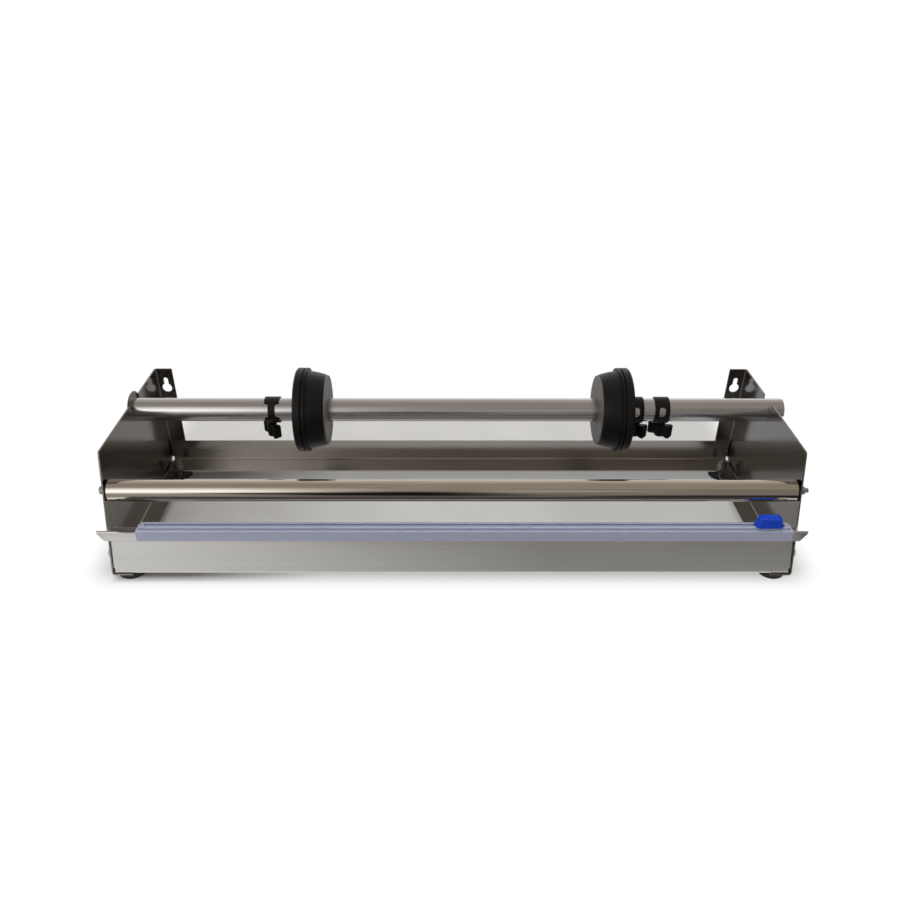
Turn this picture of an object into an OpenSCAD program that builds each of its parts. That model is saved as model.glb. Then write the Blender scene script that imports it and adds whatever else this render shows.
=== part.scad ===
// Stretch film dispenser: a bent sheet frame that carries a lift-out roll shaft
// with two core cones, a turning guide roller and a slide cutter on its front rail.
// X runs along the shaft, Y from front to rear, Z up. The origin is the middle of
// the footprint, on the surface that the feet stand on.

/* [Frame] */
// Width over the outer faces of the side plates
frame_w = 682; // [640:1:760]
// Depth of the side plates along the base
base_d = 218; // [214:1:236]
// Depth of the side plates along the top edge
top_d = 183; // [172:1:196]
// Height of the side plates
side_h = 123.5; // [121:0.5:140]
// Sheet thickness of the side plates and the rear rail
sheet_t = 1.5; // [1:0.1:2]
// Inside radius of the bends in that sheet
bend_r = 1.5; // [0.8:0.1:2.5]
// Width of the flange along the base, over the outer face
base_flange_w = 21; // [19:0.5:26]
// Width of the upright rear flange, over the outer face
rear_flange_w = 20; // [18:0.5:24]
// Radius of the upper front corner of a side plate
corner_r = 4; // [2:0.5:8]
// Diameter of the relief hole where two bends meet
relief_d = 5; // [4:0.5:7]

/* [Wall keyholes] */
// Diameter of the round part
key_d = 11; // [9:0.5:13]
// Width of the slot above it
key_slot_w = 5.2; // [4:0.1:6.5]
// Centre of the round part below the top edge
key_drop = 24; // [20:0.5:32]
// Slot end above the centre of the round part
key_rise = 13; // [11:0.5:17]
// Centre of the round part from the outer face of the side plate
key_inset = 11; // [9:0.5:12]

/* [Rear rail] */
// Height of the upright leg
rear_leg_h = 27; // [22:0.5:36]
// Depth of the leg that lies on the base flanges
rear_leg_d = 28; // [25:0.5:36]

/* [Front rail] */
// Sheet thickness of the front rail
rail_t = 1.2; // [0.8:0.1:1.5]
// Inside radius of its bends
rail_r = 0.8; // [0.5:0.1:1]
// Top of the shelf above the base
shelf_h = 50; // [44:0.5:56]
// Front face of the lip in front of the side plates' edge at shelf height
lip_out = 8.6; // [6:0.2:11]
// Height of the lip
lip_h = 11; // [9:0.5:14]
// Length of the lip, past both side plates
lip_len = 697; // [640:1:780]
// Cut-back of the lower corners of the lip
lip_bevel = 6; // [2:0.5:9]
// Depth of the flange under the rail
front_leg_d = 32; // [30:0.5:40]
// Depth of the end tabs that the side screws hold
tab_d = 17; // [14:0.5:22]
// Height of the side screws above the base
rail_screw_h = 18; // [17:0.5:32]
// Side screws behind the front edge of the side plates
rail_screw_in = 9; // [8:0.5:12]

/* [Roll shaft] */
// Outside diameter of the shaft tube
shaft_d = 25; // [20:0.5:28]
// Wall of the shaft tube
shaft_wall = 1.5; // [1:0.1:2.5]
// Shaft axis in front of the rear face of the frame
shaft_back = 75; // [70:1:90]
// Shaft axis below the top edge of the side plates
shaft_drop = 12.5; // [8:0.5:15]
// Bare end of the tube outside the right side plate
shaft_out = 14; // [10:1:40]
// Room on each side of the shaft in its slot
slot_clear = 0.25; // [0.1:0.05:0.6]
// Diameter of the cap on the left end
cap_d = 40; // [32:0.5:44]
// Thickness of the cap's flange
cap_t = 1.5; // [1:0.1:4]
// Length of the cap's spigot inside the tube
cap_spigot = 22; // [12:1:30]

/* [Core cones] */
// Diameter at the small end, for the bore of the film's core
cone_small_d = 75.5; // [70:0.5:78]
// Diameter where the cone meets its flange
cone_big_d = 83.5; // [80:0.5:86]
// Length of the cone up to the flange
cone_len = 19.3; // [16:0.1:30]
// Outside diameter of the flange
flange_d = 90; // [88:0.5:100]
// Thickness of the thick rim
thick_rim = 8; // [5:0.5:10]
// Width of the groove between the rims
groove_w = 1.6; // [1:0.1:3]
// Depth of that groove
groove_depth = 2.4; // [1:0.1:3]
// Thickness of the thin rim
thin_rim = 2.4; // [1.5:0.1:4]
// Wall of the moulding
cone_wall = 2.6; // [2:0.1:3.5]
// Diameter of the hub
hub_d = 38; // [34:0.5:44]
// Number of ribs between hub and wall
rib_count = 6; // [4:1:12]
// Thickness of a rib
rib_t = 2.2; // [1.5:0.1:3]
// Thickness of the plate on the small end
face_t = 1.2; // [0.8:0.1:2]
// Inner face of the left cone from the middle of the frame
left_cone_x = 132.5; // [100:0.5:150]
// Inner face of the right cone from the middle of the frame
right_cone_x = 156; // [120:0.5:170]

/* [Locking collars] */
// Width of a collar along the shaft
collar_w = 15.4; // [13:0.2:20]
// Wall of the collar's band
collar_t = 1.6; // [1.2:0.1:2.4]
// Width of the tongue, and of the window that takes it
tongue_w = 7; // [5:0.5:8]
// Diameter of the boss under the band, by the edge away from the cone
boss_d = 8; // [7.6:0.1:9]
// Length of the boss below the band
boss_len = 2; // [1:0.5:5]
// Middle of the left collar from the middle of the frame
left_collar_x = 192.5; // [185:0.5:220]
// Middle of the outer right collar from the middle of the frame
outer_collar_x = 225; // [224:0.5:260]
// Gap between the right cone and the collar next to it
cone_gap = 1.2; // [0.3:0.1:2]

/* [Wing screws] */
// Diameter of the threaded stud
stud_d = 5; // [4:0.5:5.5]
// Height of the wing knob
knob_h = 14.5; // [11:0.5:18]
// Span of its wings
wing_span = 26; // [20:0.5:26]
// Thickness of a wing
wing_t = 5; // [4:0.5:6]
// Diameter of its hub
knob_hub_d = 10.5; // [9:0.5:12]
// Turn of the wings on the right collars, as they were tightened
right_wing_turn = -40; // [-90:1:90]
// Turn of the wings on the left collar
left_wing_turn = -52; // [-90:1:90]

/* [Guide roller] */
// Outside diameter of the roller tube
roller_d = 22; // [18:0.5:24]
// Wall of the roller tube
roller_wall = 1.2; // [0.8:0.1:2]
// Roller axis behind the front edge of the side plates
roller_in = 9; // [7:0.5:14]
// Roller axis above the base
roller_h = 81.5; // [78:0.5:88]
// Depth of the bearing plugs inside the tube
plug_len = 14; // [10:0.5:20]
// Thickness of the spacer between plug and side plate
spacer_t = 1; // [0.6:0.1:2]
// Diameter of the axle that the roller turns on
axle_d = 5; // [4:0.5:6]
// Thread of the axle past its right nut
axle_out_right = 4; // [0.5:0.5:8]
// Thread of the axle past its left nut
axle_out_left = 1; // [0.5:0.5:8]

/* [Slide cutter] */
// Length of the base strip
cutter_len = 644; // [600:1:660]
// Middle of the cutter to the right of the middle of the frame
cutter_shift = 12; // [0:0.5:12]
// Thickness of the base strip
strip_t = 0.8; // [0.7:0.1:1.5]
// Rear edge of the strip behind its hook on the shelf
strip_over = 1; // [0.5:0.1:4]
// Depth of the track along the strip's rear edge
track_d = 9.7; // [9:0.1:10]
// Length of the skirt down the lip
skirt_h = 10.5; // [5:0.5:12]
// Height of the track on the strip
track_h = 2.5; // [2.5:0.1:4]
// Wall of the track
track_wall = 1; // [0.8:0.1:1.4]
// How far the track stays back from each end of the strip
track_inset = 2.7; // [1:0.1:6]
// Length of the slider along its base
slider_len = 27; // [22:0.5:36]
// Length of the slider along its top
slider_top = 20; // [14:0.5:21]
// Height of the slider above the track
slider_h = 10.2; // [6:0.2:12]
// Depth of the slider, over both sides of the track
slider_d = 12; // [10:0.5:13]
// Middle of the slider from the right end of the strip
slider_in = 23; // [23:0.5:60]
// Thickness of the blade
blade_t = 0.4; // [0.2:0.1:0.8]

/* [Feet] */
// Height of a foot
foot_h = 10; // [8:0.5:16]
// Diameter of a foot at its top
foot_top_d = 29; // [26:0.5:31]
// Diameter of a foot where it stands
foot_low_d = 27; // [22:0.5:29]
// Centre of a foot from the outer face of the side plate
foot_side_in = 13.5; // [12:0.5:14]
// Rear foot from the rear face of the frame
rear_foot_in = 19; // [17:0.5:20]
// Front foot from the front of the base
front_foot_in = 18.5; // [17:0.5:22]
// Diameter of the foot screws
foot_screw_d = 5; // [4:0.5:5]
// Thread of the foot screws above their nuts
thread_out = 4; // [1:0.5:6]

/* [Side screws] */
// Diameter of the front rail's screws
rail_screw_d = 6; // [4:0.5:6]

/* [Hidden] */
$fn = 64;
eps = 0.01;
// Clearance of a shaft that turns or slides in its bore, on the radius
run = 0.05;
// Clearance of a screw in a plain hole, on the radius
screw_clear = 0.15;
// Gap between pieces that stay clear of each other
gap = 0.3;
// How far the shaft's seat lies under the shaft
seat_gap = 0.05;

half_w = frame_w / 2;
inner_w = half_w - sheet_t;
rear_y = base_d / 2;
bend_out = bend_r + sheet_t;
lean = atan((base_d - top_d) / side_h);
function front_y(h) = -base_d / 2 + (base_d - top_d) * h / side_h;

shaft_y = rear_y - shaft_back;
shaft_z = foot_h + side_h - shaft_drop;
shaft_r = shaft_d / 2;
roller_y = front_y(roller_h) + roller_in;
roller_z = foot_h + roller_h;
cap_x = half_w + gap;

cross_end = inner_w - bend_r - gap;
tab_bend = rail_r + rail_t;
face_end = min(cross_end, inner_w - tab_bend);
face_rear = rail_t / cos(lean);
shelf_z = foot_h + shelf_h;
lip_y = front_y(shelf_h) - lip_out;
turn = 90 + lean;
tan_turn = tan(turn / 2);

foot_x = half_w - foot_side_in;
rear_foot_y = rear_y - rear_foot_in;
front_foot_y = -base_d / 2 + front_foot_in;
rail_screw_y = front_y(rail_screw_h) + rail_screw_in;
washer_t = 1;

cone_total = cone_len + thin_rim + groove_w + thick_rim;
left_cone_at = -left_cone_x - face_t;
right_cone_at = right_cone_x + face_t;
inner_collar_x = right_cone_at + cone_total + cone_gap + collar_w / 2;
collar_r = shaft_r + run + collar_t;
boss_edge = 0.3;
boss_shift = (collar_w - boss_d) / 2 - boss_edge;
boss_z = -collar_r - boss_len;

strip_front = lip_y - strip_t - run;
hook_y = front_y(shelf_h) + face_rear + gap;
strip_rear = hook_y + strip_t + strip_over;
track_z = shelf_z + strip_t;
track_top = track_z + track_h;
track_floor = 0.6;
track_lip = 1.5;
track_lip_t = 0.8;
track_y0 = strip_rear - track_d;
track_y1 = strip_rear;
track_mid = (track_y0 + track_y1) / 2;
track_in = (track_y1 - track_y0) / 2 - track_wall;
track_open = track_in - track_lip;
track_x0 = cutter_shift - cutter_len / 2 + track_inset;
track_x1 = cutter_shift + cutter_len / 2 - track_inset;
stop_len = 5;
slide_clear = 0.15;
slider_x = cutter_shift + cutter_len / 2 - slider_in;

// Basic forms

// Extrudes a profile drawn in Y and Z along X, centred on the frame
module along_x(w) {
  translate([-w / 2, 0, 0]) rotate([90, 0, 90]) linear_extrude(w) children();
}

module rod_x(x0, x1, r) {
  translate([x0, 0, 0]) rotate([0, 90, 0]) cylinder(h = x1 - x0, r = r);
}

module ring_x(x0, x1, r_out, r_in) {
  difference() {
    rod_x(x0, x1, r_out);
    rod_x(x0 - 1, x1 + 1, r_in);
  }
}

// Quarter of a bent sheet, from the direction of -X round to that of -Y
module quarter_bend(r, t) {
  intersection() {
    difference() {
      circle(r + t);
      circle(r);
    }
    translate([-r - t, -r - t]) square(r + t);
  }
}

// Two legs of sheet and the bend between them, with the outer corner at the origin
module angle_profile(leg_x, leg_y, t, r) {
  translate([r + t, 0]) square([leg_x - r - t, t]);
  translate([0, r + t]) square([t, leg_y - r - t]);
  translate([r + t, r + t]) quarter_bend(r, t);
}

// Part of a ring between two angles, less than half a turn apart
module ring_sector(r, t, a0, a1) {
  reach = 3 * (r + t);
  mid = (a0 + a1) / 2;
  intersection() {
    difference() {
      circle(r + t);
      circle(r);
    }
    polygon([
      [0, 0], reach * [cos(a0), sin(a0)],
      reach * [cos(mid), sin(mid)], reach * [cos(a1), sin(a1)]
    ]);
  }
}

// Bent strip as a profile: each step is a flat length and the turn that follows it.
// The sheet lies to the left of the line that the steps follow.
module bent_strip(steps, t, r, i = 0) {
  if (i < len(steps)) {
    flat = steps[i][0];
    a = steps[i][1];
    square([flat, t]);
    translate([flat, 0]) {
      if (a > 0) translate([0, t + r]) {
        ring_sector(r, t, -90, a - 90);
        rotate(a) translate([0, -t - r]) bent_strip(steps, t, r, i + 1);
      }
      if (a < 0) translate([0, -r]) {
        ring_sector(r, t, 90 + a, 90);
        rotate(a) translate([0, r]) bent_strip(steps, t, r, i + 1);
      }
    }
  }
}

module pan_screw(d, reach) {
  head_h = 0.62 * d;
  head_r = 0.95 * d;
  cross_w = 0.22 * d;
  difference() {
    union() {
      translate([0, 0, -reach]) cylinder(h = reach, r = d / 2);
      cylinder(h = head_h * 0.45, r = head_r);
      translate([0, 0, head_h * 0.45]) cylinder(h = head_h * 0.55, r1 = head_r, r2 = head_r * 0.72);
    }
    for (a = [0, 90]) rotate(a)
      translate([-head_r * 0.55, -cross_w / 2, head_h * 0.5]) cube([head_r * 1.1, cross_w, head_h]);
  }
}

function nut_h(d) = 0.8 * d;

module hex_nut(d) {
  difference() {
    intersection() {
      cylinder(h = nut_h(d), r = 0.92 * d, $fn = 6);
      cylinder(h = nut_h(d), r = 0.88 * d);
    }
    translate([0, 0, -1]) cylinder(h = d + 2, r = d / 2);
  }
}

// Frame

module side_outline() {
  front_top = [front_y(side_h), side_h];
  d = corner_r * tan(lean / 2 + 45 - lean);
  centre = [front_top[0] + d, side_h - corner_r];
  difference() {
    polygon([[rear_y, 0], [-rear_y, 0], front_top, [rear_y, side_h]]);
    difference() {
      polygon([
        front_top, [centre[0], side_h + 1], centre,
        centre + (corner_r + 1) * [-cos(lean), sin(lean)]
      ]);
      translate(centre) circle(corner_r);
    }
  }
}

module keyhole() {
  rotate([90, 0, 0]) {
    cylinder(h = 4 * sheet_t, r = key_d / 2, center = true);
    translate([0, key_rise - key_slot_w / 2, 0])
      cylinder(h = 4 * sheet_t, r = key_slot_w / 2, center = true);
    translate([-key_slot_w / 2, 0, -2 * sheet_t])
      cube([key_slot_w, key_rise - key_slot_w / 2, 4 * sheet_t]);
  }
}

module shaft_slot() {
  slot_r = shaft_r + slot_clear;
  slot_z = shaft_z + slot_clear - seat_gap;
  translate([0, shaft_y, slot_z]) {
    rod_x(half_w - 2 * sheet_t, half_w + sheet_t, slot_r);
    translate([half_w - 2 * sheet_t, -slot_r, 0]) cube([3 * sheet_t, 2 * slot_r, shaft_drop + 1]);
  }
}

module side_plate() {
  bend_from = -rear_y - 1;
  bend_to = rear_y - bend_out - relief_d / 2;
  color("silver") difference() {
    intersection() {
      translate([half_w - base_flange_w / 2, 0, foot_h]) along_x(base_flange_w) side_outline();
      union() {
        translate([inner_w, -rear_y, foot_h + bend_out])
          cube([sheet_t, base_d - bend_out, side_h - bend_out]);
        translate([half_w, bend_to, foot_h]) mirror([1, 0, 0]) rotate([90, 0, 0])
          linear_extrude(bend_to - bend_from) angle_profile(base_flange_w, bend_out + 1, sheet_t, bend_r);
        translate([half_w, rear_y, foot_h + bend_out + relief_d / 2]) rotate(180)
          linear_extrude(side_h) angle_profile(rear_flange_w, bend_out + 1, sheet_t, bend_r);
      }
    }
    shaft_slot();
    translate([half_w - key_inset, rear_y, foot_h + side_h - key_drop]) keyhole();
    translate([0, rear_y - bend_out, foot_h + bend_out])
      rod_x(half_w - 2 * sheet_t, half_w + 1, relief_d / 2);
    translate([0, roller_y, roller_z])
      rod_x(half_w - 2 * sheet_t, half_w + 1, axle_d / 2 + screw_clear);
    translate([0, rail_screw_y, foot_h + rail_screw_h])
      rod_x(half_w - 2 * sheet_t, half_w + 1, rail_screw_d / 2 + screw_clear);
    for (y = [front_foot_y, rear_foot_y]) translate([foot_x, y, foot_h - 1])
      cylinder(h = sheet_t + 2, r = foot_screw_d / 2 + screw_clear);
  }
}

module left_side_plate() {
  mirror([1, 0, 0]) side_plate();
}

module right_side_plate() {
  side_plate();
}

module rear_rail() {
  color("gray") difference() {
    translate([0, rear_y - sheet_t, foot_h + sheet_t]) along_x(2 * cross_end) mirror([1, 0])
      angle_profile(rear_leg_d, rear_leg_h, sheet_t, bend_r);
    for (s = [-1, 1]) translate([s * foot_x, rear_foot_y, foot_h])
      cylinder(h = 3 * sheet_t, r = foot_screw_d / 2 + screw_clear);
  }
}

// Profile of the front rail: floor flange, leaning face, shelf and lip
module front_rail_profile() {
  floor_h = sheet_t + rail_t;
  leg_rear = -base_d / 2 + front_leg_d;
  foot_corner = front_y(floor_h) + face_rear;
  shelf_corner = front_y(shelf_h) + face_rear;
  face = (shelf_h - floor_h) / cos(lean);
  steps = [
    [leg_rear - foot_corner - rail_r * tan_turn, -turn],
    [face - (2 * rail_r + rail_t) * tan_turn, turn],
    [shelf_corner - lip_y - tab_bend * (tan_turn + 1), 90],
    [lip_h - tab_bend, 0]
  ];
  translate([leg_rear, foot_h + floor_h]) rotate(180) bent_strip(steps, rail_t, rail_r);
}

// End tab of the front rail, bent back from the face against the right side plate
module front_rail_tab() {
  low = bend_out + tab_d * sin(lean) + gap;
  high = (shelf_h - low - 6) / cos(lean);
  translate([0, front_y(low), foot_h + low]) rotate([-lean, 0, 0])
    translate([inner_w, 0, 0]) mirror([1, 0, 0]) linear_extrude(high)
      angle_profile(tab_bend + 6, tab_d, rail_t, rail_r);
}

module front_rail() {
  color("lightgray") difference() {
    union() {
      intersection() {
        along_x(lip_len) front_rail_profile();
        union() {
          translate([-face_end, -base_d, foot_h]) cube([2 * face_end, 2 * base_d, side_h]);
          translate([-inner_w + gap, -base_d, shelf_z - tab_bend - 2])
            cube([2 * (inner_w - gap), 2 * base_d, side_h]);
          translate([-lip_len / 2, lip_y - 1, shelf_z - lip_h - 1])
            cube([lip_len, tab_bend + 1, lip_h + 2]);
        }
      }
      front_rail_tab();
      mirror([1, 0, 0]) front_rail_tab();
    }
    for (s = [0, 1]) mirror([s, 0, 0]) {
      translate([0, rail_screw_y, foot_h + rail_screw_h])
        rod_x(inner_w - 3 * rail_t, half_w, rail_screw_d / 2 + screw_clear);
      translate([foot_x, front_foot_y, foot_h])
        cylinder(h = sheet_t + 2 * rail_t, r = foot_screw_d / 2 + screw_clear);
      translate([lip_len / 2 - lip_bevel, lip_y + rail_t + 1, shelf_z - lip_h]) rotate([90, 0, 0])
        linear_extrude(rail_t + 2)
          polygon([[0, -1], [lip_bevel + 1, -1], [lip_bevel + 1, lip_h - 1.5], [lip_bevel, lip_h - 1.5], [0, 0]]);
    }
  }
}

// Slide cutter

module cutter_strip() {
  hook_h = 4;
  color("lavender", 0.7) translate([cutter_shift, 0, shelf_z]) along_x(cutter_len) polygon([
    [strip_front, strip_t], [strip_front, -skirt_h], [lip_y - run, -skirt_h], [lip_y - run, 0],
    [hook_y, 0], [hook_y, -hook_h], [hook_y + strip_t, -hook_h], [hook_y + strip_t, 0],
    [strip_rear, 0], [strip_rear, strip_t]
  ]);
}

// Hollow of the track: a wide channel under a narrower slot, less a clearance
module track_hollow(clear, top) {
  translate([track_mid - track_in + clear, track_floor + clear])
    square([2 * (track_in - clear), track_h - track_floor - track_lip_t - 2 * clear]);
  translate([track_mid - track_open + clear, track_floor + clear])
    square([2 * (track_open - clear), top - track_floor - clear]);
}

module cutter_track() {
  color("lavender", 0.7) translate([(track_x0 + track_x1) / 2, 0, track_z])
    along_x(track_x1 - track_x0) difference() {
      translate([track_y0, 0]) square([track_y1 - track_y0, track_h]);
      track_hollow(0, track_h + 1);
    }
}

module cutter_end_stops() {
  color("lavender", 0.7) for (x = [track_x0 + stop_len / 2, track_x1 - stop_len / 2])
    translate([x, 0, track_z]) along_x(stop_len) track_hollow(0, track_h);
}

module cutter_slider() {
  foot_len = slider_top;
  neck_len = foot_len / 2;
  edge_r = 1.2;
  ramp_h = 0.9;
  low_z = track_top + slide_clear;
  color("royalblue") difference() {
    union() {
      hull() for (sx = [-1, 1], sy = [-1, 1]) {
        translate([
          slider_x + sx * (slider_len / 2 - edge_r), track_mid + sy * (slider_d / 2 - edge_r), low_z
        ]) cylinder(h = 1, r = edge_r, $fn = 24);
        translate([
          slider_x + sx * (slider_top / 2 - edge_r), track_mid + sy * (slider_d / 2 - 1 - edge_r),
          low_z + slider_h - edge_r
        ]) sphere(r = edge_r, $fn = 16);
      }
      translate([slider_x, 0, track_z]) intersection() {
        along_x(foot_len) track_hollow(slide_clear, track_h + slide_clear + 1);
        union() {
          along_x(neck_len) translate([track_y0, 0]) square([track_d, track_h + 2]);
          along_x(foot_len) translate([track_y0, 0])
            square([track_d, track_h - track_lip_t - slide_clear]);
        }
      }
    }
    translate([slider_x, track_mid, low_z]) for (s = [0, 1]) mirror([s, 0, 0]) rotate([90, 0, 0])
      linear_extrude(slider_d + 2, center = true)
        polygon([[neck_len / 2 + 1, -eps], [slider_len / 2 + 1, -eps], [slider_len / 2 + 1, ramp_h]]);
    translate([slider_x, track_mid, 0]) blade_form(blade_t / 2 + 0.02);
  }
}

// Blade blank: wide inside the slider, with two cutting edges that slant down to the foot
module blade_form(half_t) {
  top = track_top + slider_h * 0.6;
  low = track_z + track_floor + 2 * slide_clear;
  wide = slider_top * 0.4;
  narrow = slider_top * 0.22;
  translate([0, half_t, 0]) rotate([90, 0, 0]) linear_extrude(2 * half_t) polygon([
    [-narrow, low], [narrow, low], [wide, track_top + 1], [wide, top], [-wide, top], [-wide, track_top + 1]
  ]);
}

module cutter_blade() {
  color("gainsboro") translate([slider_x, track_mid, 0]) blade_form(blade_t / 2);
}

// Roll shaft

module at_shaft(x = 0) {
  translate([x, shaft_y, shaft_z]) children();
}

module roll_shaft() {
  color("silver") at_shaft() ring_x(-cap_x, half_w + shaft_out, shaft_r, shaft_r - shaft_wall);
}

module shaft_end_cap() {
  edge = cap_t / 3;
  taper = 1.2;
  spigot_r = shaft_r - shaft_wall - run;
  color("darkgray") at_shaft(-cap_x) rotate([0, 90, 0]) rotate_extrude() polygon([
    [0, -cap_t], [cap_d / 2 - edge, -cap_t], [cap_d / 2, -cap_t + edge], [cap_d / 2, -edge],
    [cap_d / 2 - edge, 0], [spigot_r, 0], [spigot_r, cap_spigot - taper],
    [spigot_r - taper, cap_spigot], [0, cap_spigot]
  ]);
}

// Core cones, drawn with the small end at the origin and the flange towards +X

module cone_solid(inset) {
  r0 = cone_small_d / 2 - inset;
  r1 = cone_big_d / 2 - inset;
  bulge = 0.6;
  x0 = inset;
  rotate([0, 90, 0]) rotate_extrude() polygon([
    [0, x0], [r0 - 1, x0], [r0, x0 + 1],
    for (k = [1:3]) [
      r0 + (r1 - r0) * k / 4 + bulge * sin(180 * k / 4), x0 + 1 + (cone_len - 1 - x0) * k / 4
    ],
    [r1, cone_len], [r1, cone_total + inset], [0, cone_total + inset]
  ]);
}

module core_cone() {
  rim_x = cone_len + thin_rim + groove_w;
  flange_r = flange_d / 2;
  groove_r = flange_r - groove_depth;
  rim_in = cone_big_d / 2 - cone_wall - 1;
  difference() {
    union() {
      cone_solid(0);
      ring_x(cone_len, cone_len + thin_rim, flange_r, rim_in);
      ring_x(cone_len + thin_rim - eps, rim_x + eps, groove_r, rim_in);
      translate([rim_x, 0, 0]) rotate([0, 90, 0]) rotate_extrude() polygon([
        [rim_in, 0], [flange_r - 0.6, 0], [flange_r, 0.6], [flange_r, thick_rim - 1.5],
        [flange_r - 1.5, thick_rim], [rim_in, thick_rim]
      ]);
    }
    difference() {
      cone_solid(cone_wall);
      rod_x(0, cone_total, hub_d / 2);
      for (k = [0 : rib_count - 1]) rotate([k * 360 / rib_count, 0, 0])
        translate([0, -rib_t / 2, 0]) cube([cone_total - thick_rim / 2, rib_t, flange_r]);
    }
    rod_x(-1, cone_total + 1, shaft_r + run);
  }
}

module cone_face() {
  ring_x(-face_t, 0, cone_small_d / 2 - 1, shaft_r + gap);
}

module left_core_cone() {
  color([0.07, 0.07, 0.08]) at_shaft(left_cone_at) mirror([1, 0, 0]) core_cone();
}

module left_cone_face() {
  color("darkgray") at_shaft(left_cone_at) mirror([1, 0, 0]) cone_face();
}

module right_core_cone() {
  color([0.07, 0.07, 0.08]) at_shaft(right_cone_at) core_cone();
}

module right_cone_face() {
  color("darkgray") at_shaft(right_cone_at) cone_face();
}

// Locking collars and wing screws

// Rounded opening through one side of the band, between two angles above the horizontal
module band_opening(w, from, to) {
  r = min(w / 2 - 0.2, 3);
  span = collar_r * (to - from) * PI / 180;
  rotate([-(from + to) / 2, 0, 0]) rotate([90, 0, 0]) translate([0, 0, shaft_r / 2])
    linear_extrude(collar_r) {
      square([w - 2 * r, span], center = true);
      square([w, span - 2 * r], center = true);
      for (sx = [-1, 1], sy = [-1, 1]) translate([sx * (w / 2 - r), sy * (span / 2 - r)]) circle(r);
    }
}

// Collar with the window towards -Y and the tongue towards +Y
module collar() {
  notch = collar_w - tongue_w;
  difference() {
    union() {
      rod_x(-collar_w / 2, collar_w / 2, collar_r);
      translate([boss_shift, 0, boss_z]) cylinder(h = collar_r, r = boss_d / 2);
    }
    rod_x(-collar_w, collar_w, shaft_r + run);
    translate([boss_shift, 0, boss_z - 1]) cylinder(h = collar_r, r = stud_d / 2 + run);
    band_opening(tongue_w, -14, 38);
    rotate(180) for (s = [-1, 1]) translate([s * collar_w / 2, 0, 0]) band_opening(notch, -16, 56);
  }
}

// Wing knob with the top of its hub just under the boss
module wing_knob(turned) {
  top = boss_z - gap;
  tip_r = 3;
  difference() {
    union() {
      translate([0, 0, top - knob_h]) rotate_extrude() polygon([
        [0, 0], [knob_hub_d / 2 - 1.5, 0], [knob_hub_d / 2, 1.5], [knob_hub_d / 2 - 0.5, knob_h],
        [0, knob_h]
      ]);
      rotate(turned) for (s = [-1, 1]) hull() {
        translate([s * knob_hub_d / 4, 0, top - knob_h / 2]) cube([1, wing_t, knob_h - 2], center = true);
        translate([s * (wing_span / 2 - tip_r), 0, top - knob_h + tip_r]) rotate([90, 0, 0])
          cylinder(h = wing_t - 1, r = tip_r, center = true, $fn = 32);
        translate([s * (wing_span / 2 - tip_r - 1.5), 0, top - tip_r]) rotate([90, 0, 0])
          cylinder(h = wing_t - 1, r = tip_r - 0.5, center = true, $fn = 32);
      }
    }
    stud(run / 5);
  }
}

module stud(clear = 0) {
  tip = -shaft_r - 2 * run;
  length = boss_len + collar_t + knob_h * 0.7;
  translate([0, 0, tip - length]) cylinder(h = length, r = stud_d / 2 + clear);
}

module left_collar() {
  color([0.06, 0.06, 0.07]) at_shaft(-left_collar_x) rotate(180) collar();
}

module inner_right_collar() {
  color([0.06, 0.06, 0.07]) at_shaft(inner_collar_x) collar();
}

module outer_right_collar() {
  color([0.06, 0.06, 0.07]) at_shaft(outer_collar_x) collar();
}

module left_wing_knob() {
  color([0.06, 0.06, 0.07]) at_shaft(-left_collar_x - boss_shift) wing_knob(left_wing_turn);
}

module inner_right_wing_knob() {
  color([0.06, 0.06, 0.07]) at_shaft(inner_collar_x + boss_shift) wing_knob(right_wing_turn);
}

module outer_right_wing_knob() {
  color([0.06, 0.06, 0.07]) at_shaft(outer_collar_x + boss_shift) wing_knob(right_wing_turn);
}

module left_stud() {
  color("silver") at_shaft(-left_collar_x - boss_shift) stud();
}

module inner_right_stud() {
  color("silver") at_shaft(inner_collar_x + boss_shift) stud();
}

module outer_right_stud() {
  color("silver") at_shaft(outer_collar_x + boss_shift) stud();
}

// Guide roller

plug_rim = 1.5;
roller_end = inner_w - spacer_t - gap - plug_rim;

module at_roller() {
  translate([0, roller_y, roller_z]) children();
}

module guide_roller() {
  color("white") at_roller() ring_x(-roller_end, roller_end, roller_d / 2, roller_d / 2 - roller_wall);
}

module roller_plug() {
  difference() {
    union() {
      rod_x(roller_end - plug_len, roller_end, roller_d / 2 - roller_wall - run);
      rod_x(roller_end, roller_end + plug_rim, roller_d / 2 - 0.5);
    }
    rod_x(roller_end - plug_len - 1, inner_w, axle_d / 2 + run);
  }
}

module left_roller_plug() {
  color("black") at_roller() mirror([1, 0, 0]) roller_plug();
}

module right_roller_plug() {
  color("black") at_roller() roller_plug();
}

module roller_spacers() {
  color("white") at_roller() for (s = [0, 1]) mirror([s, 0, 0])
    ring_x(inner_w - spacer_t, inner_w, axle_d * 0.9, axle_d / 2 + screw_clear);
}

module roller_axle() {
  nut_face = half_w + washer_t + nut_h(axle_d);
  color("silver") at_roller() rod_x(-nut_face - axle_out_left, nut_face + axle_out_right, axle_d / 2);
}

module axle_washers() {
  color("silver") at_roller() for (s = [0, 1]) mirror([s, 0, 0])
    ring_x(half_w, half_w + washer_t, axle_d, axle_d / 2 + screw_clear);
}

module axle_nuts() {
  color("silver") at_roller() for (s = [0, 1]) mirror([s, 0, 0])
    translate([half_w + washer_t, 0, 0]) rotate([0, 90, 0]) hex_nut(axle_d);
}

// Fasteners and feet

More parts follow.
